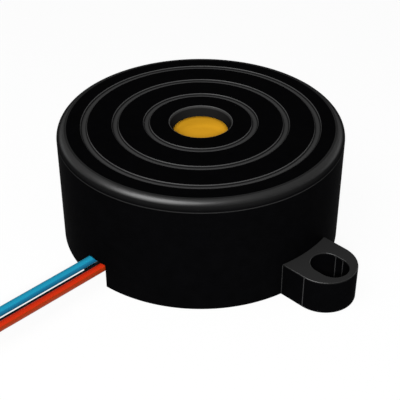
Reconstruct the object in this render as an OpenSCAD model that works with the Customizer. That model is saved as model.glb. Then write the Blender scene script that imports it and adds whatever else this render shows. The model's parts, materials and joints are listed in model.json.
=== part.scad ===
// Piezo buzzer: a round plastic case with two mounting ears, a self-drive piezo
// diaphragm behind its sound hole, and three lead wires out of a notch at the back.
// Millimetres. The origin is the middle of the bottom face, +Z points up through the
// sound hole, the ears lie along X and the leads leave towards -Y.

/* [Body] */
// Diameter of the round body
body_d = 30; // [30:0.5:34]
// Height of the body, from its bottom face to its flat top
body_h = 12.7; // [11.5:0.1:15]
// Thickness of the side wall
wall_t = 1.4; // [1.2:0.1:1.6]
// Thickness of the top
top_t = 1.05; // [0.8:0.05:1.6]
// Radius of the rounded top edge
top_edge_r = 1; // [0.4:0.1:1.2]

/* [Sound hole and grooves] */
// Diameter of the sound hole at the top face, where it is widest
sound_hole_d = 6.5; // [6:0.1:7.2]
// Diameter of the sound hole at the inside of the top
sound_hole_inner_d = 5.7; // [3:0.1:5.8]
// Depth of the resonant cavity between the top and the diaphragm
cavity_depth = 1.2; // [0.6:0.1:2]
// Number of round grooves in the top
groove_count = 3; // [1:1:3]
// Distance from the outermost groove to the edge of the flat top
groove_inset = 1.85; // [1:0.05:2]
// Distance from one groove to the next
groove_pitch = 3.25; // [2:0.05:3.3]
// Width of a groove, which is half round in section
groove_w = 0.6; // [0.4:0.1:0.8]

/* [Mounting ears] */
// Width of an ear, which is also the diameter of its round end
ear_w = 6.5; // [6:0.1:8]
// Thickness of an ear
ear_t = 3.8; // [2:0.1:4]
// Distance from the body's side to the middle of an ear's round end
ear_reach = 2.45; // [2:0.05:3.5]
// Distance from the body's side to the middle of an ear's slot
slot_reach = 3; // [2.8:0.1:3.2]
// Width of the slot, for an M3 screw
slot_w = 3.1; // [3:0.1:3.4]
// Length of the slot from end to end
slot_l = 4; // [3.6:0.1:4.2]

/* [Diaphragm] */
// Thickness of the brass plate
plate_t = 0.3; // [0.2:0.05:0.4]
// Diameter of the ceramic disc
ceramic_d = 20; // [18:0.5:20]
// Thickness of the ceramic disc
ceramic_t = 0.25; // [0.2:0.05:0.3]
// Width of the silver tongue that gives the feedback signal
tongue_w = 3.6; // [3:0.1:5]

/* [Leads] */
// Length of a lead from the seal to its tip
lead_length = 100; // [90:1:104]
// Length of bare wire at a lead's tip
strip_length = 4; // [3:0.1:4]

/* [Hidden] */
$fn = 96;

// Small overlap that lets one cut run clear of another's face
over = 1;

// Case, from the outside in
body_r = body_d / 2;
flat_top_r = body_r - top_edge_r;
bore_r = body_r - wall_t;
ledge_w = 1;
cavity_r = bore_r - ledge_w;
cover_seat_w = 0.5;
cover_gap = 0.05;
cover_t = 1;
cover_r = bore_r + cover_seat_w - cover_gap;
cover_rim_gap = 0.1;
cover_rim_w = 1;
cover_rim_h = 1.2;
gate_mark_d = 2.4;
gate_mark_depth = 0.3;
ear_end_x = body_r + ear_reach;
slot_x = body_r + slot_reach;

// Notch in the wall and the moulded channel behind it
notch_w = 2.8;
notch_h = 2.75;
channel_wall_t = 0.8;
channel_inner_y = -9.5;
seal_outer_y = -12.1;

// Diaphragm, from the ledge down
plate_gap = 0.1;
plate_r = bore_r - plate_gap;
plate_top_z = body_h - top_t - cavity_depth;
plate_back_z = plate_top_z - plate_t;
ceramic_back_z = plate_back_z - ceramic_t;
silver_t = 0.05;
silver_margin = 0.7;
silver_z = ceramic_back_z - silver_t;
silver_r = ceramic_d / 2 - silver_margin;
silver_gap = 0.5;
tongue_inner_x = 4.6;
bead_w = 1.1;
bead_h = 1;
bead_land = 0.2;

// Solder joints: where each one sits on the back of the diaphragm
solder_r = 0.9;
conductor_r = 0.25;
bare_inside = 1.2;
ground_inset = 2.1;
main_joint = [6, -2, silver_z];
feedback_joint = [-7, 0, silver_z];
ground_joint = [0, plate_r - ground_inset, plate_back_z];

// Leads: red is the main one, blue the feedback and black the ground
lead_r = 0.45;
lead_sides = 8;
red_exit = [0.86, seal_outer_y, 2.22];
black_exit = [0, seal_outer_y, 1.65];
blue_exit = [-0.86, seal_outer_y, 2.22];
inner_steps = 12;
inner_pull = 4;

// Free leads: straight out of the notch, down to the surface and into their coils
red_route = [[0.86, -12.1, 2.22], [0.86, -14, 2.22], [0.86, -16, 2.22], [0.86, -18, 2.22],
    [0.86, -20, 2.22], [0.86, -22, 2.22], [0.86, -24, 2.22], [0.86, -26, 2.22],
    [0.86, -27.5, 2.22], [0.9, -29, 2.08], [1.01, -30.5, 1.65], [1.17, -32, 1.08],
    [1.33, -33.5, 0.65], [1.49, -35, 0.47], [1.6, -36.5, 0.45], [1.67, -38, 0.45],
    [1.7, -39.5, 0.45], [1.7, -41, 0.45], [1.7, -42, 0.45]];
black_route = [[0, -12.1, 1.65], [0, -14, 1.65], [0, -16, 1.65], [0, -18, 1.65],
    [0, -20, 1.65], [0, -22, 1.65], [0, -24, 1.65], [0, -26, 1.65], [0, -27.5, 1.65],
    [0, -29, 1.55], [0, -30.5, 1.25], [0, -32, 0.88], [0, -33.5, 0.58], [0, -35, 0.46],
    [0, -36.5, 0.45], [0, -38.5, 0.45], [0, -40.5, 0.45], [0, -42.5, 0.45],
    [0, -44.5, 0.45], [0, -46.5, 0.45], [0, -48.5, 0.45], [0, -50, 0.45]];
blue_route = [[-0.86, -12.1, 2.22], [-0.86, -14, 2.22], [-0.86, -16, 2.22],
    [-0.86, -18, 2.22], [-0.86, -20, 2.22], [-0.86, -22, 2.22], [-0.86, -24, 2.22],
    [-0.86, -26, 2.22], [-0.86, -27.5, 2.22], [-0.93, -29, 2.08], [-1.11, -30.5, 1.65],
    [-1.36, -32, 1.08], [-1.57, -33.3, 0.65], [-1.68, -34.4, 0.47], [-1.7, -35.2, 0.45],
    [-1.7, -36, 0.45]];

// Coils: flat spirals on the surface, wound inwards, with the end turned into the middle
coil_outer_r = 6.3;
coil_tail = 3.6;
coil_bar = 0.8;
end_bend_r = 2.2;
end_bend = 90;

// --- Functions -------------------------------------------------------------------

function unit(v) = v / norm(v);

// Length of a route of points
function route_length(p, i = 1) = i >= len(p) ? 0 : norm(p[i] - p[i - 1]) + route_length(p, i + 1);

// Direction of a route at point i
function heading(p, i) = unit(p[min(i + 1, len(p) - 1)] - p[max(i - 1, 0)]);

// The ring of points round point i, square to the route
function ring(p, i, r, sides, up) =
    let (t = heading(p, i), a = unit(cross(t, up)), b = cross(a, t))
    [for (k = [0:sides - 1]) p[i] + r * (cos(360 * k / sides) * a + sin(360 * k / sides) * b)];

// A point on the cubic curve that runs from a along b and into d from c
function curve_point(a, b, c, d, t) =
    pow(1 - t, 3) * a + 3 * t * pow(1 - t, 2) * b + 3 * t * t * (1 - t) * c + pow(t, 3) * d;

// Route of a lead inside the case, from the seal to the bare end under a solder joint
function inner_route(exit, joint) =
    let (seal_end = [exit[0], channel_inner_y, exit[2]],
         top = joint - [0, 0, bare_inside],
         below = top - [0, 0, 2 * lead_r])
    concat([exit, (exit + seal_end) / 2, seal_end],
        [for (i = [0:inner_steps]) curve_point(seal_end + [0, lead_r, 0],
            seal_end + [0, inner_pull, 0], below - [0, 0, inner_pull / 2], below,
            i / inner_steps)],
        [top]);

// Number of turns that take up a length in a flat spiral whose turns touch
function coil_turns(length) =
    let (pitch = 2 * lead_r)
    (coil_outer_r - sqrt(coil_outer_r * coil_outer_r - pitch * length / PI)) / pitch;

// Turns in the coil of a lead: its straight start, end bend and bare tip are taken off first
function lead_turns(route) =
    coil_turns(lead_length - strip_length - route_length(route) - coil_tail
        - end_bend_r * PI * end_bend / 180);

function coil_inner_r(route) = coil_outer_r - 2 * lead_r * lead_turns(route);

// --- Shared shapes ---------------------------------------------------------------

// A tube along a route, with flat sides
module tube(route, up = [0, 0, 1]) {
    n = len(route);
    s = lead_sides;
    polyhedron(
        points = [for (i = [0:n - 1]) each ring(route, i, lead_r, s, up)],
        faces = concat(
            [[for (k = [s - 1:-1:0]) k]],
            [for (i = [0:n - 2]) for (k = [0:s - 1])
                [i * s + k, i * s + (k + 1) % s, (i + 1) * s + (k + 1) % s, (i + 1) * s + k]],
            [[for (k = [0:s - 1]) (n - 1) * s + k]]));
}

// Places its children at the coil of a route: side is 1 where the coil lies on the
// left of the lead as it leaves, and -1 where it lies on the right
module at_coil(route, side) {
    last = route[len(route) - 1];
    translate([last[0] - side * coil_outer_r, last[1] - coil_tail, 0])
        mirror([side < 0 ? 1 : 0, 0, 0])
            children();
}

// Turns its children to the place where the spiral ends
module at_coil_end(route) {
    rotate([0, 0, -360 * lead_turns(route)])
        translate([coil_inner_r(route), 0, lead_r])
            children();
}

// The closed outer shape of a coil, with its straight start and its turned-in end
module coil(route) {
    inner = coil_inner_r(route) - lead_r;
    rotate_extrude()
        translate([inner, 0])
            square([coil_outer_r + lead_r - inner, 2 * lead_r]);
    translate([coil_outer_r - coil_bar / 2, 0, lead_r - coil_bar / 2])
        cube([coil_bar, coil_tail, coil_bar]);
    at_coil_end(route)
        translate([-end_bend_r, 0, 0])
            rotate([0, 0, -end_bend])
                rotate_extrude(angle = end_bend)
                    translate([end_bend_r - coil_bar / 2, -coil_bar / 2])
                        square(coil_bar);
}

// The stripped wire at a lead's tip, straight on from the turned-in end
module lead_tip(route) {
    at_coil_end(route)
        translate([-end_bend_r, -end_bend_r, 0])
            rotate([0, -90, 0])
                cylinder(r = conductor_r, h = strip_length);
}

// A dome of solder with the wire's bore in it, hanging under a joint
module solder_dome(joint) {
    translate(joint)
        mirror([0, 0, 1])
            rotate_extrude()
                intersection() {
                    circle(r = solder_r);
                    translate([conductor_r, 0])
                        square(solder_r);
                }
}

// The bare end of a lead inside a solder joint
module inner_end(joint) {
    translate(joint - [0, 0, bare_inside])
        cylinder(r = conductor_r, h = bare_inside);
}

// --- Housing ---------------------------------------------------------------------

// Half section of the outside of the body
module body_section() {
    square([flat_top_r, body_h]);
    square([body_r, body_h - top_edge_r]);
    translate([flat_top_r, body_h - top_edge_r])
        circle(r = top_edge_r);
}

module ear() {
    translate([0, -ear_w / 2, 0])
        cube([ear_end_x, ear_w, ear_t]);
    translate([ear_end_x, 0, 0])
        cylinder(d = ear_w, h = ear_t);
}

module ear_slot() {
    reach = (slot_l - slot_w) / 2;
    translate([slot_x, 0, -over]) {
        for (x = [-reach, reach])
            translate([x, 0, 0])
                cylinder(d = slot_w, h = ear_t + 2 * over);
        translate([-reach, -slot_w / 2, 0])
            cube([2 * reach, slot_w, ear_t + 2 * over]);
    }
}

// The steps inside the case: seat for the cover, bore, and cavity in front of the plate
module case_inside() {
    translate([0, 0, -over])
        cylinder(r = bore_r + cover_seat_w, h = cover_t + over);
    cylinder(r = bore_r, h = plate_top_z);
    cylinder(r = cavity_r, h = body_h - top_t);
}

// Walls and roof round the lead seal, moulded with the case
module lead_channel() {
    intersection() {
        translate([-notch_w / 2 - channel_wall_t, -body_r, cover_t])
            cube([notch_w + 2 * channel_wall_t, body_r + channel_inner_y,
                notch_h + channel_wall_t - cover_t]);
        cylinder(r = bore_r + cover_seat_w, h = body_h);
    }
}

module lead_notch() {
    translate([-notch_w / 2, -body_r - over, -over])
        cube([notch_w, body_r + channel_inner_y + 2 * over, notch_h + over]);
}

module top_grooves() {
    for (i = [0:groove_count - 1])
        translate([0, 0, body_h])
            rotate_extrude()
                translate([flat_top_r - groove_inset - i * groove_pitch, 0])
                    circle(d = groove_w);
}

// The tapered sound hole, with its wide end up
module sound_hole() {
    lap = 0.2;
    slope = (sound_hole_d - sound_hole_inner_d) / top_t;
    translate([0, 0, body_h - top_t - lap])
        cylinder(d1 = sound_hole_inner_d - slope * lap, d2 = sound_hole_d + slope * lap,
            h = top_t + 2 * lap);
}

module housing() {
    color([0.04, 0.04, 0.04])
        difference() {
            union() {
                difference() {
                    union() {
                        rotate_extrude()
                            body_section();
                        ear();
                        mirror([1, 0, 0])
                            ear();
                    }
                    case_inside();
                }
                lead_channel();
            }
            lead_notch();
            top_grooves();
            sound_hole();
            ear_slot();
            mirror([1, 0, 0])
                ear_slot();
        }
}

// --- Base cover ------------------------------------------------------------------

module base_cover() {
    rim_r = bore_r - cover_rim_gap;
    clear_w = notch_w + 2 * channel_wall_t + 2 * cover_rim_gap;
    color([0.05, 0.05, 0.05])
        difference() {
            union() {
                cylinder(r = cover_r, h = cover_t);
                difference() {
                    cylinder(r = rim_r, h = cover_t + cover_rim_h);
                    cylinder(r = rim_r - cover_rim_w, h = cover_t + cover_rim_h + over);
                    translate([-clear_w / 2, -body_r, cover_t])
                        cube([clear_w, body_r, cover_rim_h + over]);
                }
            }
            translate([-notch_w / 2, -body_r - over, -over])
                cube([notch_w, body_r + over + seal_outer_y, cover_t + cover_rim_h + 2 * over]);
            translate([0, 0, -over])
                cylinder(d = gate_mark_d, h = gate_mark_depth + over);
        }
}

// --- Diaphragm -------------------------------------------------------------------

module diaphragm_plate() {
    color([0.8, 0.58, 0.13])
        translate([0, 0, plate_back_z])
            cylinder(r = plate_r, h = plate_t);
}

module piezo_ceramic() {
    color([0.75, 0.72, 0.62])
        translate([0, 0, ceramic_back_z])
            cylinder(d = ceramic_d, h = ceramic_t);
}

// Outline of the feedback tongue, or of the clear strip round it
module tongue_outline(grow) {
    intersection() {
        circle(r = silver_r);
        union() {
            translate([-tongue_inner_x, 0])
                circle(d = tongue_w + 2 * grow);
            translate([-silver_r - over, -tongue_w / 2 - grow])
                square([silver_r + over - tongue_inner_x, tongue_w + 2 * grow]);
        }
    }
}

module main_electrode() {
    color([0.8, 0.8, 0.78])
        translate([0, 0, silver_z])
            linear_extrude(silver_t)
                difference() {
                    circle(r = silver_r);
                    tongue_outline(silver_gap);
                }
}

module feedback_electrode() {
    color([0.8, 0.8, 0.78])
        translate([0, 0, silver_z])
            linear_extrude(silver_t)
                tongue_outline(0);
}

// Bead of silicone in the corner between the plate and the bore
module diaphragm_adhesive() {
    color([0.9, 0.9, 0.88])
        rotate_extrude()
            polygon([
                [bore_r - bead_w, plate_back_z],
                [bore_r - bead_w, plate_back_z - bead_land],
                [bore_r - bead_land, plate_back_z - bead_h],
                [bore_r, plate_back_z - bead_h],
                [bore_r, plate_top_z],
                [plate_r, plate_top_z],
                [plate_r, plate_back_z]]);
}

// --- Solder joints and the wire ends in them -------------------------------------

module main_solder() {
    color([0.7, 0.7, 0.72])
        solder_dome(main_joint);
}

module feedback_solder() {
    color([0.7, 0.7, 0.72])
        solder_dome(feedback_joint);
}

module ground_solder() {
    color([0.7, 0.7, 0.72])
        solder_dome(ground_joint);
}

module red_inner_end() {
    color([0.75, 0.75, 0.76])
        inner_end(main_joint);
}

module black_inner_end() {
    color([0.75, 0.75, 0.76])
        inner_end(ground_joint);
}

module blue_inner_end() {
    color([0.75, 0.75, 0.76])
        inner_end(feedback_joint);
}

// --- Seal and leads --------------------------------------------------------------

module lead_seal() {
    seal_l = channel_inner_y - seal_outer_y;
    color([0.12, 0.12, 0.12])
        difference() {
            translate([-notch_w / 2, seal_outer_y, cover_t])
                cube([notch_w, seal_l, notch_h - cover_t]);
            for (exit = [red_exit, black_exit, blue_exit])
                translate(exit + [0, -over, 0])
                    rotate([-90, 0, 0])
                        cylinder(r = lead_r, h = seal_l + 2 * over, $fn = lead_sides);
        }
}

module red_inner_lead() {
    color([0.85, 0.2, 0.08])
        tube(inner_route(red_exit, main_joint), [1, 0, 0]);
}

module black_inner_lead() {
    color([0.03, 0.03, 0.03])
        tube(inner_route(black_exit, ground_joint), [1, 0, 0]);
}

module blue_inner_lead() {
    color([0.13, 0.6, 0.8])
        tube(inner_route(blue_exit, feedback_joint), [1, 0, 0]);
}

module red_lead() {
    color([0.85, 0.2, 0.08])
        tube(red_route);
}

module black_lead() {
    color([0.03, 0.03, 0.03])
        tube(black_route);
}

module blue_lead() {
    color([0.13, 0.6, 0.8])
        tube(blue_route);
}

module red_lead_coil() {
    color([0.85, 0.2, 0.08])
        at_coil(red_route, -1)
            coil(red_route);
}

module black_lead_coil() {
    color([0.03, 0.03, 0.03])
        at_coil(black_route, 1)
            coil(black_route);
}

module blue_lead_coil() {
    color([0.13, 0.6, 0.8])
        at_coil(blue_route, 1)
            coil(blue_route);
}

module red_lead_tip() {
    color([0.75, 0.75, 0.76])
        at_coil(red_route, -1)
            lead_tip(red_route);
}

module black_lead_tip() {
    color([0.75, 0.75, 0.76])
        at_coil(black_route, 1)
            lead_tip(black_route);
}

module blue_lead_tip() {
    color([0.75, 0.75, 0.76])
        at_coil(blue_route, 1)
            lead_tip(blue_route);
}

housing();
base_cover();
diaphragm_plate();
piezo_ceramic();
main_electrode();
feedback_electrode();
diaphragm_adhesive();
main_solder();
feedback_solder();
ground_solder();
lead_seal();
red_inner_lead();
black_inner_lead();
blue_inner_lead();
red_inner_end();
black_inner_end();
blue_inner_end();
red_lead();
black_lead();
blue_lead();
red_lead_coil();
black_lead_coil();
blue_lead_coil();
red_lead_tip();
black_lead_tip();
blue_lead_tip();
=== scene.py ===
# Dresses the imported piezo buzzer: camera, leads, moulded case, brass diaphragm, materials, light.
# Everything is in metres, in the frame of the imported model.
import json
import math

import bmesh
import bpy
from mathutils import Matrix, Vector


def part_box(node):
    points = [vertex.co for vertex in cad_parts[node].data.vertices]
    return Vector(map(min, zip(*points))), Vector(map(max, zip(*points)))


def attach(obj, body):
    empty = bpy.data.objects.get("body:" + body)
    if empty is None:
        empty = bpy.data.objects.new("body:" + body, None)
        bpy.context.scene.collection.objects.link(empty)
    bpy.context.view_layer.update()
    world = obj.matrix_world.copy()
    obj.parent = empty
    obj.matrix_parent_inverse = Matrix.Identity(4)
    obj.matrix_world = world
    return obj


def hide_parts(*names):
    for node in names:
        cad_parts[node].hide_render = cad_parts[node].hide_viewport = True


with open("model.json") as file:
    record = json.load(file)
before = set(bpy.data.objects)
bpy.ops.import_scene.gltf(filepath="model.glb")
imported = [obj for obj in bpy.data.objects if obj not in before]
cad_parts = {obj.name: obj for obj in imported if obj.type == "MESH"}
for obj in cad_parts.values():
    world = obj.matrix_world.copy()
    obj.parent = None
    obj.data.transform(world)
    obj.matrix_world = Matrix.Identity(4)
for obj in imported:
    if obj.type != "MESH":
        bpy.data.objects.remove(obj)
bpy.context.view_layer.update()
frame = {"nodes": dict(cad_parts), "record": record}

MM = 0.001
BODY = "root"

# --- Sizes read from the frame -----------------------------------------------------

HOUSING_LOW, HOUSING_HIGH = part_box("housing")
BODY_R = HOUSING_HIGH.y
BODY_H = HOUSING_HIGH.z
COVER_T = 1.0 * MM
PLATE_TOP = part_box("diaphragm_plate")[1].z
SEAL_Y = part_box("lead_seal")[0].y
CHANNEL_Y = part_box("lead_seal")[1].y
NOTCH_W = 2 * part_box("lead_seal")[1].x
NOTCH_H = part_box("lead_seal")[1].z
BORE_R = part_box("diaphragm_adhesive")[1].x

# Sizes of the moulding that no node's box gives
TOP_EDGE_R = 1.0 * MM
TOP_T = 1.05 * MM
HOLE_R = 3.25 * MM
HOLE_INNER_R = 2.85 * MM
LEDGE_W = 1.0 * MM
SEAT_W = 0.5 * MM
CHANNEL_WALL = 0.8 * MM
CHANNEL_END_Y = -(BORE_R + 0.3 * MM)
GROOVE_RADII = [5.65 * MM, 8.9 * MM, 12.15 * MM]
GROOVE_HALF_W = 0.3 * MM
EAR_W = 6.5 * MM
EAR_T = 3.8 * MM
EAR_END_X = HOUSING_HIGH.x - EAR_W / 2
EAR_ROOT_X = BODY_R - 0.7 * MM
EAR_BEVEL = 0.12 * MM
SLOT_X = 18.0 * MM
SLOT_W = 3.1 * MM
SLOT_L = 4.0 * MM
SLOT_REACH = (SLOT_L - SLOT_W) / 2
LIP = 0.06 * MM

# How far a cutting shape runs past the face that it cuts
CUT_OVER = 1 * MM

# How finely the moulding's curves are divided
LATHE_STEPS = 256
TOP_EDGE_STEPS = 16
HOLE_LIP_STEPS = 4
GROOVE_STEPS = 14
EAR_END_STEPS = 48
SLOT_END_STEPS = 32
BEVEL_STEPS = 3

# A groove's half round starts and ends a little inside its lips
GROOVE_START = 12
GROOVE_SWEEP = 156

# --- Camera ------------------------------------------------------------------------

CAMERA_AZIMUTH = math.radians(45)
CAMERA_TURN = math.radians(45.05)
CAMERA_PITCH = math.radians(34.965)
CAMERA_OUT = 5.916 * BODY_R
CAMERA_UP = 4.3175 * BODY_R
CAMERA_LENS = 88.74


def add_camera():
    data = bpy.data.cameras.new("camera")
    data.sensor_width = 36
    data.lens = CAMERA_LENS
    data.clip_start = 0.005
    data.clip_end = 10
    camera = bpy.data.objects.new("camera", data)
    camera.location = (
        CAMERA_OUT * math.sin(CAMERA_AZIMUTH),
        -CAMERA_OUT * math.cos(CAMERA_AZIMUTH),
        CAMERA_UP,
    )
    camera.rotation_euler = (math.pi / 2 - CAMERA_PITCH, 0, CAMERA_TURN)
    bpy.context.scene.collection.objects.link(camera)
    bpy.context.scene.camera = camera


add_camera()

# --- Leads: routes -----------------------------------------------------------------

LEAD_R = 0.45 * MM
LEAD_LENGTH = 100 * MM
STRIP_LENGTH = 4 * MM
COIL_OUTER_R = 6.3 * MM
COIL_TAIL = 3.6 * MM
END_BEND_R = 2.2 * MM
END_BEND = math.pi / 2
LEAD_END_ROUND = 0.04 * MM
LEAD_SIDES = 24

ROUTE_STEPS = 4
COIL_TURN_STEPS = 48
END_BEND_STEPS = 10

STRAND_R = 0.08 * MM
STRAND_TWIST = 2 * math.pi / (2.6 * MM)
STRAND_END_ROUND = 0.02 * MM
STRAND_SIDES = 8
STRAND_STEPS = 28
OUTER_STRANDS = 6

RED_ROUTE = [
    (0.00086, -0.0121, 0.00222), (0.00086, -0.014, 0.00222), (0.00086, -0.016, 0.00222),
    (0.00086, -0.018, 0.00222), (0.00086, -0.02, 0.00222), (0.00086, -0.022, 0.00222),
    (0.00086, -0.024, 0.00222), (0.00086, -0.026, 0.00222), (0.00086, -0.0275, 0.00222),
    (0.0009, -0.029, 0.00208), (0.00101, -0.0305, 0.00165), (0.00117, -0.032, 0.00108),
    (0.00133, -0.0335, 0.00065), (0.00149, -0.035, 0.00047), (0.0016, -0.0365, 0.00045),
    (0.00167, -0.038, 0.00045), (0.0017, -0.0395, 0.00045), (0.0017, -0.041, 0.00045),
    (0.0017, -0.042, 0.00045),
]
BLACK_ROUTE = [
    (0, -0.0121, 0.00165), (0, -0.014, 0.00165), (0, -0.016, 0.00165), (0, -0.018, 0.00165),
    (0, -0.02, 0.00165), (0, -0.022, 0.00165), (0, -0.024, 0.00165), (0, -0.026, 0.00165),
    (0, -0.0275, 0.00165), (0, -0.029, 0.00155), (0, -0.0305, 0.00125), (0, -0.032, 0.00088),
    (0, -0.0335, 0.00058), (0, -0.035, 0.00046), (0, -0.0365, 0.00045), (0, -0.0385, 0.00045),
    (0, -0.0405, 0.00045), (0, -0.0425, 0.00045), (0, -0.0445, 0.00045), (0, -0.0465, 0.00045),
    (0, -0.0485, 0.00045), (0, -0.05, 0.00045),
]
BLUE_ROUTE = [
    (-0.00086, -0.0121, 0.00222), (-0.00086, -0.014, 0.00222), (-0.00086, -0.016, 0.00222),
    (-0.00086, -0.018, 0.00222), (-0.00086, -0.02, 0.00222), (-0.00086, -0.022, 0.00222),
    (-0.00086, -0.024, 0.00222), (-0.00086, -0.026, 0.00222), (-0.00086, -0.0275, 0.00222),
    (-0.00093, -0.029, 0.00208), (-0.00111, -0.0305, 0.00165), (-0.00136, -0.032, 0.00108),
    (-0.00157, -0.0333, 0.00065), (-0.00168, -0.0344, 0.00047), (-0.0017, -0.0352, 0.00045),
    (-0.0017, -0.036, 0.00045),
]


def path_length(points):
    return sum((b - a).length for a, b in zip(points, points[1:]))


def smooth_route(points):
    """The points of a smooth curve through a route, with its own points kept."""
    p = [Vector(q) for q in points]
    padded = [2 * p[0] - p[1]] + p + [2 * p[-1] - p[-2]]
    out = []
    for a, b, c, d in zip(padded, padded[1:], padded[2:], padded[3:]):
        for i in range(ROUTE_STEPS):
            t = i / ROUTE_STEPS
            out.append(
                0.5 * (2 * b + (c - a) * t + (2 * a - 5 * b + 4 * c - d) * t * t
                       + (3 * b - a - 3 * c + d) * t ** 3)
            )
    return out + [p[-1]]


def coil_turns(route):
    """Turns of a flat spiral, a lead's width apart, that take up what the route leaves."""
    straight = path_length([Vector(q) for q in route])
    length = LEAD_LENGTH - STRIP_LENGTH - straight - COIL_TAIL - END_BEND_R * END_BEND
    pitch = 2 * LEAD_R
    return (COIL_OUTER_R - math.sqrt(COIL_OUTER_R ** 2 - pitch * length / math.pi)) / pitch


def lead_path(route, side):
    """A lead from the seal to its stripped end: the route, the spiral and the turned-in end.

    side is 1 where the coil lies at lower X than the lead, and -1 where it lies at higher X.
    """
    end = Vector(route[-1])
    centre = Vector((end.x - side * COIL_OUTER_R, end.y - COIL_TAIL, end.z))
    turns = coil_turns(route)
    steps = math.ceil(turns * COIL_TURN_STEPS)
    path = smooth_route(route)

    def placed(x, y):
        return centre + Vector((side * x, y, 0))

    path += [placed(COIL_OUTER_R, COIL_TAIL * (1 - i / 3)) for i in (1, 2)]
    for i in range(steps + 1):
        angle = -2 * math.pi * turns * i / steps
        r = COIL_OUTER_R - 2 * LEAD_R * turns * i / steps
        path.append(placed(r * math.cos(angle), r * math.sin(angle)))
    last = -2 * math.pi * turns
    r = COIL_OUTER_R - 2 * LEAD_R * turns
    for i in range(1, END_BEND_STEPS + 1):
        a = END_BEND * i / END_BEND_STEPS
        x = r - END_BEND_R + END_BEND_R * math.cos(a)
        y = -END_BEND_R * math.sin(a)
        path.append(placed(x * math.cos(last) - y * math.sin(last),
                           x * math.sin(last) + y * math.cos(last)))
    return path


# --- Mesh helpers ------------------------------------------------------------------

# Edges that turn by more than these angles, in degrees, are shaded sharp
HOUSING_SMOOTH_ANGLE = 35
LEAD_SMOOTH_ANGLE = 50
FLOOR_SMOOTH_ANGLE = 40


def new_piece(name, mesh):
    piece = bpy.data.objects.new(name, mesh)
    bpy.context.scene.collection.objects.link(piece)
    return piece


def mesh_from(name, bm, smooth_angle=None):
    bmesh.ops.recalc_face_normals(bm, faces=bm.faces)
    mesh = bpy.data.meshes.new(name)
    bm.to_mesh(mesh)
    bm.free()
    if smooth_angle is not None:
        mesh.shade_smooth()
        mesh.set_sharp_from_angle(angle=math.radians(smooth_angle))
    return mesh


def add_tube(bm, path, radius, sides, round_ends):
    """A closed tube along a path, its rings carried along without twist and its ends eased."""
    n = len(path)
    tangents = [
        (path[min(i + 1, n - 1)] - path[max(i - 1, 0)]).normalized() for i in range(n)
    ]
    normal = tangents[0].orthogonal().normalized()
    stations = []
    for point, tangent in zip(path, tangents):
        normal = (normal - normal.dot(tangent) * tangent).normalized()
        stations.append((point, normal.copy(), tangent.cross(normal), radius))
    first, last = stations[0], stations[-1]
    stations[0] = (*first[:3], radius - round_ends)
    stations.insert(1, (first[0] + tangents[0] * round_ends, *first[1:3], radius))
    stations[-1] = (*last[:3], radius - round_ends)
    stations.insert(-1, (last[0] - tangents[-1] * round_ends, *last[1:3], radius))
    rings = []
    for point, a, b, r in stations:
        rings.append([
            bm.verts.new(point + r * (math.cos(t) * a + math.sin(t) * b))
            for t in (2 * math.pi * k / sides for k in range(sides))
        ])
    for low, high in zip(rings, rings[1:]):
        for k in range(sides):
            bm.faces.new((low[k], low[(k + 1) % sides], high[(k + 1) % sides], high[k]))
    bm.faces.new(list(reversed(rings[0])))
    bm.faces.new(rings[-1])


def turned_rings(bm, profile, segments):
    """A ring of points round Z for each (radius, height) of a profile."""
    return [
        [
            bm.verts.new((r * math.cos(a), r * math.sin(a), z))
            for a in (2 * math.pi * k / segments for k in range(segments))
        ]
        for r, z in profile
    ]


def add_lathe(bm, profile):
    """A closed turned shape: profile is a closed loop of (radius, height) off the axis."""
    rings = turned_rings(bm, profile, LATHE_STEPS)
    for low, high in zip(rings, rings[1:] + rings[:1]):
        for k in range(LATHE_STEPS):
            j = (k + 1) % LATHE_STEPS
            bm.faces.new((low[k], low[j], high[j], high[k]))


BLOCK_FACES = (
    (0, 2, 3, 1), (4, 5, 7, 6), (0, 1, 5, 4), (2, 6, 7, 3), (0, 4, 6, 2), (1, 3, 7, 5),
)


def add_block(bm, low, high):
    corners = [
        bm.verts.new((x, y, z))
        for z in (low[2], high[2]) for y in (low[1], high[1]) for x in (low[0], high[0])
    ]
    for face in BLOCK_FACES:
        bm.faces.new([corners[i] for i in face])


def add_prism(bm, outline, low, high):
    """An outline of (x, y) points drawn up from one height to another."""
    bottom = [bm.verts.new((x, y, low)) for x, y in outline]
    top = [bm.verts.new((x, y, high)) for x, y in outline]
    bm.faces.new(list(reversed(bottom)))
    bm.faces.new(top)
    for k in range(len(outline)):
        j = (k + 1) % len(outline)
        bm.faces.new((bottom[k], bottom[j], top[j], top[k]))


def arc(cx, cy, r, start, end, steps):
    """Points on an arc, both ends included; angles in degrees."""
    return [
        (cx + r * math.cos(math.radians(a)), cy + r * math.sin(math.radians(a)))
        for a in (start + (end - start) * i / steps for i in range(steps + 1))
    ]


def apply_modifiers(piece):
    evaluated = piece.evaluated_get(bpy.context.evaluated_depsgraph_get())
    mesh = bpy.data.meshes.new_from_object(evaluated)
    old = piece.data
    piece.modifiers.clear()
    piece.data = mesh
    bpy.data.meshes.remove(old)


def combine(piece, tool_mesh, operation):
    """Adds a closed mesh to the piece, or cuts it away."""
    tool = new_piece("tool", tool_mesh)
    modifier = piece.modifiers.new("combine", "BOOLEAN")
    modifier.operation = operation
    modifier.solver = "EXACT"
    modifier.object = tool
    bpy.context.view_layer.update()
    apply_modifiers(piece)
    bpy.data.objects.remove(tool)
    bpy.data.meshes.remove(tool_mesh)


def finish_shading(piece):
    piece.data.shade_smooth()
    piece.data.set_sharp_from_angle(angle=math.radians(HOUSING_SMOOTH_ANGLE))
    modifier = piece.modifiers.new("weighted_normals", "WEIGHTED_NORMAL")
    modifier.keep_sharp = True


# --- Material helpers --------------------------------------------------------------

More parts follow.
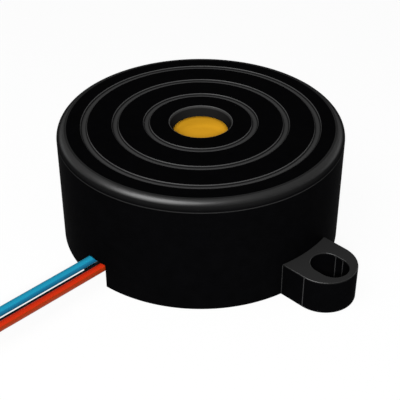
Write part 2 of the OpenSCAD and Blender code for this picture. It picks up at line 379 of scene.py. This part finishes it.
class Shader:
    """A node material built round one Principled shader."""

    def __init__(self, name, **constants):
        self.material = bpy.data.materials.new(name)
        self.material.use_nodes = True
        self.tree = self.material.node_tree
        self.bsdf = self.tree.nodes["Principled BSDF"]
        self.place = self.node("ShaderNodeTexCoord").outputs["Object"]
        for key, value in constants.items():
            self.bsdf.inputs[key.replace("_", " ")].default_value = value

    def node(self, kind, **settings):
        made = self.tree.nodes.new(kind)
        for key, value in settings.items():
            setattr(made, key, value)
        return made

    def link(self, source, target):
        self.tree.links.new(source, target)

    def math(self, operation, a, b=None):
        made = self.node("ShaderNodeMath", operation=operation)
        for socket, value in zip(made.inputs, (a, b)):
            if value is None:
                continue
            if isinstance(value, (int, float)):
                socket.default_value = value
            else:
                self.link(value, socket)
        return made.outputs[0]

    def range(self, value, low, high, to_low, to_high, smooth=False):
        made = self.node("ShaderNodeMapRange")
        if smooth:
            made.interpolation_type = "SMOOTHSTEP"
        self.link(value, made.inputs[0])
        for socket, number in zip(list(made.inputs)[1:5], (low, high, to_low, to_high)):
            socket.default_value = number
        return made.outputs[0]

    def noise(self, scale, detail=2.0, roughness=0.5, stretch=None):
        made = self.node("ShaderNodeTexNoise")
        made.inputs["Scale"].default_value = scale
        made.inputs["Detail"].default_value = detail
        made.inputs["Roughness"].default_value = roughness
        source = self.place
        if stretch:
            mapping = self.node("ShaderNodeMapping")
            mapping.inputs["Scale"].default_value = stretch
            self.link(source, mapping.inputs["Vector"])
            source = mapping.outputs["Vector"]
        self.link(source, made.inputs["Vector"])
        return made.outputs["Fac"]

    def xyz(self):
        made = self.node("ShaderNodeSeparateXYZ")
        self.link(self.place, made.inputs[0])
        return made.outputs

    def up(self):
        """1 on faces that look straight up, 0 on upright ones, -1 on undersides."""
        made = self.node("ShaderNodeSeparateXYZ")
        self.link(self.node("ShaderNodeTexCoord").outputs["Normal"], made.inputs[0])
        return made.outputs[2]

    def radius(self):
        x, y, _ = self.xyz()
        return self.math("SQRT", self.math("ADD", self.math("MULTIPLY", x, x),
                                           self.math("MULTIPLY", y, y)))

    def mix(self, factor, a, b):
        made = self.node("ShaderNodeMix", data_type="RGBA")
        self.link(factor, made.inputs["Factor"])
        for socket, colour in ((made.inputs[6], a), (made.inputs[7], b)):
            if isinstance(colour, tuple):
                socket.default_value = (*colour, 1)
            else:
                self.link(colour, socket)
        return made.outputs[2]

    def multiply(self, a, b):
        made = self.node("ShaderNodeMix", data_type="RGBA", blend_type="MULTIPLY")
        made.inputs["Factor"].default_value = 1
        self.link(a, made.inputs[6])
        self.link(b, made.inputs[7])
        return made.outputs[2]

    def bump(self, height, distance, strength):
        made = self.node("ShaderNodeBump")
        made.inputs["Distance"].default_value = distance
        made.inputs["Strength"].default_value = strength
        self.link(height, made.inputs["Height"])
        self.link(made.outputs["Normal"], self.bsdf.inputs["Normal"])

    def set(self, key, value):
        self.link(value, self.bsdf.inputs[key])


def grey(level):
    return (level, level, level)


def near(shader, value, centre, half_width, soft):
    """1 within half_width of a place along value, and 0 past it."""
    away = shader.math("ABSOLUTE", shader.math("SUBTRACT", value, centre))
    return shader.range(away, half_width, half_width + soft, 1, 0, smooth=True)


# The fine pale lines painted along the moulding's edges, which are painted highlights: half their
# width, and their soft side
LINE_HALF = 0.03 * MM
LINE_SOFT = 0.04 * MM

# Diffuse greys of the black moulding's regions
BASE_DARK, BASE_LIGHT = (0.0010, 0.0010, 0.0011), (0.0018, 0.0018, 0.0021)
# Painted light from above on the round edge: its grey is laid on most where it faces up
ROUND_EDGE_PAINTED_LIGHT = grey(0.014)
# Painted highlight lines on the ears
EAR_LINE_HIGHLIGHT_GREY = grey(0.035)
EAR_RIM_GREY = grey(0.009)
EAR_TOP_GREY = grey(0.020)
HOLE_GREY = grey(0.009)
# Painted highlight band just inside the sound hole's rim
HOLE_RIM_HIGHLIGHT_GREY = grey(0.032)
# Painted light in the grooves, most on their upward floors
GROOVE_PAINTED_LIGHT_GREY = grey(0.034)
# Painted highlight lines along the round edge's two tangents and along the lips
TANGENT_HIGHLIGHT_GREY = grey(0.017)
LIP_HIGHLIGHT_GREY = grey(0.052)


def case_material():
    """Black moulding: dark faces, a glossy round edge with painted light from above, grooves with
    painted light on their floors, and fine painted highlight lines along the edges.
    """
    s = Shader("case_plastic", IOR=1.5, Specular_IOR_Level=0.001, Coat_IOR=2.5,
               Coat_Roughness=0.34)
    x, y, z = s.xyz()
    r = s.radius()
    up = s.up()
    on_top = s.range(z, BODY_H - 0.1 * MM, BODY_H - 0.05 * MM, 0, 1)

    # Painted highlight lines along the lips of the sound hole and the grooves
    lips = near(s, r, HOLE_R + 0.03 * MM, LINE_HALF, LINE_SOFT)
    grooves = near(s, r, GROOVE_RADII[0], GROOVE_HALF_W, LINE_SOFT)
    for radius in GROOVE_RADII:
        for edge in (radius - GROOVE_HALF_W, radius + GROOVE_HALF_W):
            lips = s.math("MAXIMUM", lips, near(s, r, edge, LINE_HALF, LINE_SOFT))
        grooves = s.math("MAXIMUM", grooves, near(s, r, radius, GROOVE_HALF_W, LINE_SOFT))
    lips = s.math("MULTIPLY", lips, on_top)
    grooves = s.math("MULTIPLY", grooves, s.range(z, BODY_H - 0.5 * MM, BODY_H - 0.4 * MM, 0, 1))
    # Painted light and shade: the grooves' grey is full on their upward-facing floors and falls to
    # 15% on their steep walls
    grooves = s.math("MULTIPLY", grooves, s.range(up, 0.55, 0.85, 0.15, 1))

    in_hole = s.range(r, HOLE_R - 0.02 * MM, HOLE_R, 1, 0)
    hole = s.math("MULTIPLY", in_hole,
                  s.range(z, BODY_H - TOP_T - 0.1 * MM, BODY_H - TOP_T, 0, 1))
    # A painted highlight band just inside the sound hole's rim
    hole_rim_highlight = s.math("MULTIPLY", in_hole,
                      s.range(z, BODY_H - 0.26 * MM, BODY_H - 0.16 * MM, 0, 1))

    # Painted highlight lines where the round edge meets the top and the wall
    tangents = s.math(
        "MAXIMUM",
        s.math("MULTIPLY", near(s, r, BODY_R - TOP_EDGE_R, LINE_HALF, LINE_SOFT), on_top),
        s.math("MULTIPLY", near(s, z, BODY_H - TOP_EDGE_R, LINE_HALF, LINE_SOFT),
               s.range(r, BODY_R - 0.3 * MM, BODY_R - 0.2 * MM, 0, 1)))
    past_top = s.range(r, BODY_R - TOP_EDGE_R - 0.01 * MM, BODY_R - TOP_EDGE_R, 0, 1)
    # Painted light from above: the round edge is painted paler the more it faces up
    round_edge_painted_light = s.math("MULTIPLY", past_top, s.math("POWER", s.range(up, 0, 1, 0, 1), 1.5))
    round_edge_painted_light = s.math("MULTIPLY", round_edge_painted_light,
                        s.range(z, EAR_T + 0.1 * MM, EAR_T + 0.2 * MM, 0, 1))

    off_body = s.range(r, BODY_R + 0.02 * MM, BODY_R + 0.05 * MM, 0, 1)
    ear_rim = s.math("MULTIPLY", off_body,
                     s.range(z, EAR_T - 0.14 * MM, EAR_T - 0.05 * MM, 0, 1))
    ear_top = s.math("MULTIPLY", ear_rim, s.range(up, 0.9, 0.99, 0, 1))
    # Painted highlight lines on the ears, not seams
    ear_highlight_lines = s.math("MULTIPLY", painted_ear_highlight_lines(s, x, y, r), off_body)

    base = s.mix(s.noise(900, 3), BASE_DARK, BASE_LIGHT)
    for region, colour in (
        (round_edge_painted_light, ROUND_EDGE_PAINTED_LIGHT), (ear_highlight_lines, EAR_LINE_HIGHLIGHT_GREY), (ear_rim, EAR_RIM_GREY),
        (ear_top, EAR_TOP_GREY), (hole, HOLE_GREY), (hole_rim_highlight, HOLE_RIM_HIGHLIGHT_GREY),
        (grooves, GROOVE_PAINTED_LIGHT_GREY), (tangents, TANGENT_HIGHLIGHT_GREY), (lips, LIP_HIGHLIGHT_GREY),
    ):
        base = s.mix(region, base, colour)
    s.set("Base Color", base)

    # The gloss lies on the round edge and the lips, and fades towards the outline
    edge = s.math("MULTIPLY", s.range(up, 0.53, 0.88, 0, 1, smooth=True),
                  s.range(up, 0.97, 0.999, 1, 0, smooth=True))
    edge = s.math("MULTIPLY", edge, s.math("MAXIMUM", s.range(lips, 0, 1, 0, 0.85), past_top))
    facing = s.node("ShaderNodeLayerWeight").outputs["Facing"]
    s.set("Coat Weight", s.math("MULTIPLY", edge, s.range(facing, 0.35, 0.7, 1, 0, smooth=True)))
    s.set("Roughness", s.range(s.noise(2500, 2), 0.3, 0.7, 0.52, 0.6))
    s.bump(s.noise(9000, 2), 0.004 * MM, 0.4)
    return s.material


def painted_ear_highlight_lines(s, x, y, r):
    """Fine upright painted highlight lines on an ear: at its root, where its round end starts and
    in its slot.
    """
    across = s.math("ABSOLUTE", y)
    along = s.math("ABSOLUTE", x)
    outside = s.range(across, EAR_W / 2 - 0.1 * MM, EAR_W / 2 - 0.05 * MM, 0, 1)
    sides = s.math("MAXIMUM", near(s, along, EAR_END_X, LINE_HALF, LINE_HALF),
                   near(s, r, BODY_R + 0.05 * MM, LINE_HALF, LINE_HALF))
    in_slot = s.math("MAXIMUM", near(s, along, SLOT_X - SLOT_REACH, LINE_HALF, LINE_HALF),
                     near(s, along, SLOT_X + SLOT_REACH, LINE_HALF, LINE_HALF))
    in_slot = s.math("MULTIPLY", in_slot, s.range(across, 0.5 * SLOT_W + 0.02 * MM,
                                                  0.5 * SLOT_W + 0.05 * MM, 1, 0))
    return s.math("MAXIMUM", s.math("MULTIPLY", sides, outside), in_slot)


def cover_material():
    s = Shader("cover_plastic", Specular_IOR_Level=0.2, IOR=1.46)
    s.set("Base Color", s.mix(s.noise(700, 4), grey(0.006), grey(0.011)))
    s.set("Roughness", s.range(s.noise(1800, 2), 0.3, 0.7, 0.5, 0.62))
    s.bump(s.noise(6000, 3), 0.012 * MM, 0.5)
    return s.material


def brass_material():
    """Rolled brass, brighter outwards to make up for the shade of the sound hole's rim."""
    s = Shader("brass", Metallic=0.1, Specular_IOR_Level=0.3)
    grain = s.noise(700, 4, 0.6, stretch=(1, 14, 1))
    middle = s.mix(grain, (0.66, 0.32, 0.012), (0.73, 0.355, 0.017))
    outside = s.mix(grain, (0.95, 0.465, 0.018), (1.0, 0.49, 0.026))
    s.set("Base Color", s.mix(s.range(s.radius(), 2.4 * MM, 3.6 * MM, 0, 1), middle, outside))
    s.set("Roughness", s.range(grain, 0.3, 0.7, 0.42, 0.55))
    s.bump(grain, 0.003 * MM, 0.5)
    return s.material


def insulation_material(name, lower, upper):
    """Soft vinyl, painted lit on top and shaded underneath: upper is its colour with painted light,
    and lower the same colour with painted shade.
    """
    s = Shader(name, Specular_IOR_Level=0.12, IOR=1.5)
    # Painted light and shade: the lit colour on faces that look well up, the shaded colour on the
    # sides and underneath
    colour = s.mix(s.range(s.up(), 0.5, 0.7, 0, 1, smooth=True), lower, upper)
    worn = s.mix(s.noise(600, 3), grey(0.92), grey(1.0))
    s.set("Base Color", s.multiply(colour, worn))
    s.set("Roughness", s.range(s.noise(2200, 2), 0.3, 0.7, 0.38, 0.5))
    s.bump(s.noise(5000, 2), 0.006 * MM, 0.5)
    return s.material


PLAIN_SCALE = 900
PLAIN_BUMP = 0.006 * MM


def plain_material(name, dark, light, rough, metallic=0.0):
    """A slightly mottled surface between two colours, about as rough as rough says."""
    s = Shader(name, Metallic=metallic)
    s.set("Base Color", s.mix(s.noise(PLAIN_SCALE, 3), dark, light))
    s.set("Roughness", s.range(s.noise(PLAIN_SCALE * 2, 2), 0.3, 0.7, rough - 0.06, rough + 0.06))
    s.bump(s.noise(PLAIN_SCALE * 4, 2), PLAIN_BUMP, 0.5)
    return s.material


def make_materials():
    return {
        "case_plastic": case_material(),
        "cover_plastic": cover_material(),
        "brass": brass_material(),
        "piezo_ceramic": plain_material(
            "piezo_ceramic", (0.50, 0.45, 0.32), (0.58, 0.53, 0.40), 0.7),
        "electrode_silver": plain_material(
            "electrode_silver", (0.60, 0.60, 0.57), (0.72, 0.72, 0.70), 0.5, metallic=0.8),
        "silicone": plain_material(
            "silicone", (0.68, 0.68, 0.64), (0.78, 0.78, 0.75), 0.45),
        "solder": plain_material(
            "solder", (0.52, 0.53, 0.55), (0.66, 0.67, 0.69), 0.25, metallic=1.0),
        "seal_silicone": plain_material(
            "seal_silicone", grey(0.006), grey(0.012), 0.5),
        "red_insulation": insulation_material(
            "red_insulation", (0.26, 0.024, 0.003), (0.46, 0.021, 0.004)),
        "black_insulation": insulation_material(
            "black_insulation", grey(0.003), grey(0.006)),
        "blue_insulation": insulation_material(
            "blue_insulation", (0.010, 0.155, 0.29), (0.011, 0.24, 0.38)),
        "tinned_wire": plain_material(
            "tinned_wire", (0.55, 0.56, 0.58), (0.70, 0.71, 0.73), 0.28, metallic=1.0),
    }


MATERIALS = make_materials()


def dress(piece, slot_name):
    piece.data.materials.clear()
    piece.data.materials.append(MATERIALS[slot_name])


# --- Leads: pieces -----------------------------------------------------------------

def strand_tip(name, start, direction):
    """Tinned strands twisted round a middle one, straight on from the end of the insulation."""
    side = direction.cross(Vector((0, 0, 1))).normalized()
    up = side.cross(direction)
    bm = bmesh.new()
    axis = [start + direction * STRIP_LENGTH * i / STRAND_STEPS for i in range(STRAND_STEPS + 1)]
    add_tube(bm, axis, STRAND_R, STRAND_SIDES, STRAND_END_ROUND)
    for k in range(OUTER_STRANDS):
        strand = []
        for i, point in enumerate(axis):
            a = 2 * math.pi * k / OUTER_STRANDS + STRAND_TWIST * STRIP_LENGTH * i / STRAND_STEPS
            strand.append(point + 2 * STRAND_R * (math.cos(a) * side + math.sin(a) * up))
        add_tube(bm, strand, STRAND_R, STRAND_SIDES, STRAND_END_ROUND)
    return new_piece(name, mesh_from(name, bm, LEAD_SMOOTH_ANGLE))


def add_lead(colour, route, side):
    path = lead_path(route, side)
    bm = bmesh.new()
    add_tube(bm, path, LEAD_R, LEAD_SIDES, LEAD_END_ROUND)
    lead = new_piece(f"{colour}_lead_insulation", mesh_from(f"{colour}_lead", bm,
                                                            LEAD_SMOOTH_ANGLE))
    dress(lead, f"{colour}_insulation")
    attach(lead, BODY)
    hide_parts(f"{colour}_lead", f"{colour}_lead_coil")

    tip = strand_tip(f"{colour}_lead_strands", path[-1], (path[-1] - path[-2]).normalized())
    dress(tip, "tinned_wire")
    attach(tip, BODY)
    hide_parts(f"{colour}_lead_tip")


add_lead("red", RED_ROUTE, -1)
add_lead("black", BLACK_ROUTE, 1)
add_lead("blue", BLUE_ROUTE, 1)

# --- Housing -----------------------------------------------------------------------

def groove_points(radius):
    """Across one groove from the outside in, with its two lips slightly rounded."""
    points = [(radius + GROOVE_HALF_W + LIP, BODY_H)]
    for i in range(GROOVE_STEPS + 1):
        a = math.radians(GROOVE_START + GROOVE_SWEEP * i / GROOVE_STEPS)
        points.append(
            (radius + GROOVE_HALF_W * math.cos(a), BODY_H - GROOVE_HALF_W * math.sin(a)))
    points.append((radius - GROOVE_HALF_W - LIP, BODY_H))
    return points


def housing_profile():
    """Closed loop of (radius, height): up the outside, over the top, down the inside."""
    profile = [(BODY_R - LIP / 2, 0), (BODY_R, LIP / 2)]
    profile += arc(BODY_R - TOP_EDGE_R, BODY_H - TOP_EDGE_R, TOP_EDGE_R, 0, 90, TOP_EDGE_STEPS)
    for radius in reversed(GROOVE_RADII):
        profile += groove_points(radius)
    profile += arc(HOLE_R + LIP, BODY_H - LIP, LIP, 90, 150, HOLE_LIP_STEPS)
    cavity_r = BORE_R - LEDGE_W
    seat_r = BORE_R + SEAT_W
    profile += [
        (HOLE_INNER_R, BODY_H - TOP_T + LIP / 2),
        (HOLE_INNER_R, BODY_H - TOP_T),
        (cavity_r, BODY_H - TOP_T),
        (cavity_r, PLATE_TOP),
        (BORE_R, PLATE_TOP),
        (BORE_R, COVER_T),
        (seat_r, COVER_T),
        (seat_r, 0),
    ]
    return profile


def ear_mesh(side):
    """An ear with its slot, its edges slightly rounded; its root ends inside the wall."""
    half = EAR_W / 2
    outline = arc(EAR_END_X, 0, half, -90, 90, EAR_END_STEPS)
    bm = bmesh.new()
    add_prism(bm, [(EAR_ROOT_X, -half), *outline, (EAR_ROOT_X, half)], 0, EAR_T)
    ear = new_piece("ear", mesh_from("ear", bm))
    slot = arc(SLOT_X + SLOT_REACH, 0, SLOT_W / 2, -90, 90, SLOT_END_STEPS)
    slot += arc(SLOT_X - SLOT_REACH, 0, SLOT_W / 2, 90, 270, SLOT_END_STEPS)
    cutter = bmesh.new()
    add_prism(cutter, slot, -CUT_OVER, EAR_T + CUT_OVER)
    combine(ear, mesh_from("slot", cutter), "DIFFERENCE")
    bevel = ear.modifiers.new("bevel", "BEVEL")
    bevel.width = EAR_BEVEL
    bevel.segments = BEVEL_STEPS
    bevel.limit_method = "ANGLE"
    bevel.angle_limit = math.radians(40)
    apply_modifiers(ear)
    mesh = ear.data.copy()
    if side < 0:
        mesh.transform(Matrix.Rotation(math.pi, 4, "Z"))
    bpy.data.objects.remove(ear)
    return mesh


def channel_mesh():
    """The square channel inside the wall that the leads run through."""
    bm = bmesh.new()
    half = NOTCH_W / 2 + CHANNEL_WALL
    add_block(bm, (-half, CHANNEL_END_Y, COVER_T), (half, CHANNEL_Y, NOTCH_H + CHANNEL_WALL))
    return mesh_from("channel", bm)


def notch_mesh():
    """What is cut away for the leads, through the wall and along the channel."""
    bm = bmesh.new()
    add_block(bm, (-NOTCH_W / 2, -BODY_R - CUT_OVER, -CUT_OVER),
              (NOTCH_W / 2, CHANNEL_Y + CUT_OVER, NOTCH_H))
    return mesh_from("notch", bm)


def add_housing():
    bm = bmesh.new()
    add_lathe(bm, housing_profile())
    housing = new_piece("housing_moulding", mesh_from("housing_moulding", bm))
    combine(housing, ear_mesh(1), "UNION")
    combine(housing, ear_mesh(-1), "UNION")
    combine(housing, channel_mesh(), "UNION")
    combine(housing, notch_mesh(), "DIFFERENCE")
    finish_shading(housing)
    dress(housing, "case_plastic")
    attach(housing, BODY)
    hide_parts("housing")


add_housing()

# --- Pieces that keep their CAD mesh -----------------------------------------------

SLOT_OF = {row["node"]: row["material_slot"] for row in frame["record"]["subparts"]}


def dress_cad_nodes():
    for name, node in frame["nodes"].items():
        node.data.materials.clear()
        node.data.materials.append(MATERIALS[SLOT_OF[name]])


dress_cad_nodes()

# --- Floor, world and lights -------------------------------------------------------

FLOOR_COLOUR = (0.9, 0.9, 0.9, 1)
FLOOR_ROUGHNESS = 0.9
FLOOR_SHOWN_WHITE = 0.9
FLOOR_R = 1.0
FLOOR_Z = -0.02 * MM
FLOOR_SEGMENTS = 96
BACKDROP_H = 0.38
BACKDROP_STEPS = 16
WORLD_STRENGTH = 0.06
WHITE = (1, 1, 1, 1)

# Name, azimuth and elevation in degrees, distance, width, height, power, and whether it is
# seen in gloss; azimuth is measured like the camera's, from -Y towards +X
LIGHTS = (
    ("key", -6, 60, 0.35, 0.24, 0.28, 0.4, True),
    ("front", 45, 33, 0.4, 0.12, 0.07, 1.9, False),
    ("top", 45, 80, 0.4, 0.3, 0.3, 0.15, False),
)


def seen_directly(tree):
    """1 for rays that show the background: from the camera, or in a gloss or glass."""
    path = tree.nodes.new("ShaderNodeLightPath")
    shown = path.outputs["Is Camera Ray"]
    for kind in ("Is Glossy Ray", "Is Transmission Ray"):
        either = tree.nodes.new("ShaderNodeMath")
        either.operation = "MAXIMUM"
        tree.links.new(shown, either.inputs[0])
        tree.links.new(path.outputs[kind], either.inputs[1])
        shown = either.outputs[0]
    return shown


def floor_mesh():
    """A flat disc that curves up into a low backdrop all round."""
    bm = bmesh.new()
    middle = bm.verts.new((0, 0, 0))
    bend = arc(FLOOR_R, BACKDROP_H, BACKDROP_H, -90, 0, BACKDROP_STEPS)
    rings = turned_rings(bm, bend, FLOOR_SEGMENTS)
    for k in range(FLOOR_SEGMENTS):
        j = (k + 1) % FLOOR_SEGMENTS
        bm.faces.new((middle, rings[0][k], rings[0][j]))
        for low, high in zip(rings, rings[1:]):
            bm.faces.new((low[k], high[k], high[j], low[j]))
    return mesh_from("floor", bm, FLOOR_SMOOTH_ANGLE)


def floor_material():
    """Pale and matt, and near white wherever the background itself is seen."""
    material = bpy.data.materials.new("floor")
    material.use_nodes = True
    tree = material.node_tree
    bsdf = tree.nodes["Principled BSDF"]
    bsdf.inputs["Base Color"].default_value = FLOOR_COLOUR
    bsdf.inputs["Roughness"].default_value = FLOOR_ROUGHNESS
    bsdf.inputs["Specular IOR Level"].default_value = 0.0
    white = tree.nodes.new("ShaderNodeEmission")
    white.inputs["Color"].default_value = WHITE
    white.inputs["Strength"].default_value = 1.0
    share = tree.nodes.new("ShaderNodeMath")
    share.operation = "MULTIPLY"
    tree.links.new(seen_directly(tree), share.inputs[0])
    share.inputs[1].default_value = FLOOR_SHOWN_WHITE
    mix = tree.nodes.new("ShaderNodeMixShader")
    tree.links.new(share.outputs[0], mix.inputs[0])
    tree.links.new(bsdf.outputs[0], mix.inputs[1])
    tree.links.new(white.outputs[0], mix.inputs[2])
    tree.links.new(mix.outputs[0], tree.nodes["Material Output"].inputs["Surface"])
    return material


def add_floor():
    floor = new_piece("floor", floor_mesh())
    floor.data.materials.append(floor_material())
    floor.location.z = FLOOR_Z


def add_world():
    world = bpy.data.worlds.new("world")
    bpy.context.scene.world = world
    world.use_nodes = True
    background = world.node_tree.nodes["Background"]
    background.inputs["Color"].default_value = WHITE
    background.inputs["Strength"].default_value = WORLD_STRENGTH


def add_light(name, azimuth, elevation, distance, width, height, power, in_gloss):
    data = bpy.data.lights.new(name, "AREA")
    data.shape = "RECTANGLE"
    data.size = width
    data.size_y = height
    data.energy = power
    light = bpy.data.objects.new(name, data)
    light.visible_glossy = in_gloss
    a, e = math.radians(azimuth), math.radians(elevation)
    away = Vector((math.sin(a) * math.cos(e), -math.cos(a) * math.cos(e), math.sin(e)))
    light.location = away * distance
    light.rotation_euler = away.to_track_quat("Z", "Y").to_euler()
    bpy.context.scene.collection.objects.link(light)


add_floor()
add_world()
for row in LIGHTS:
    add_light(*row)

bpy.context.scene.view_settings.view_transform = "Standard"
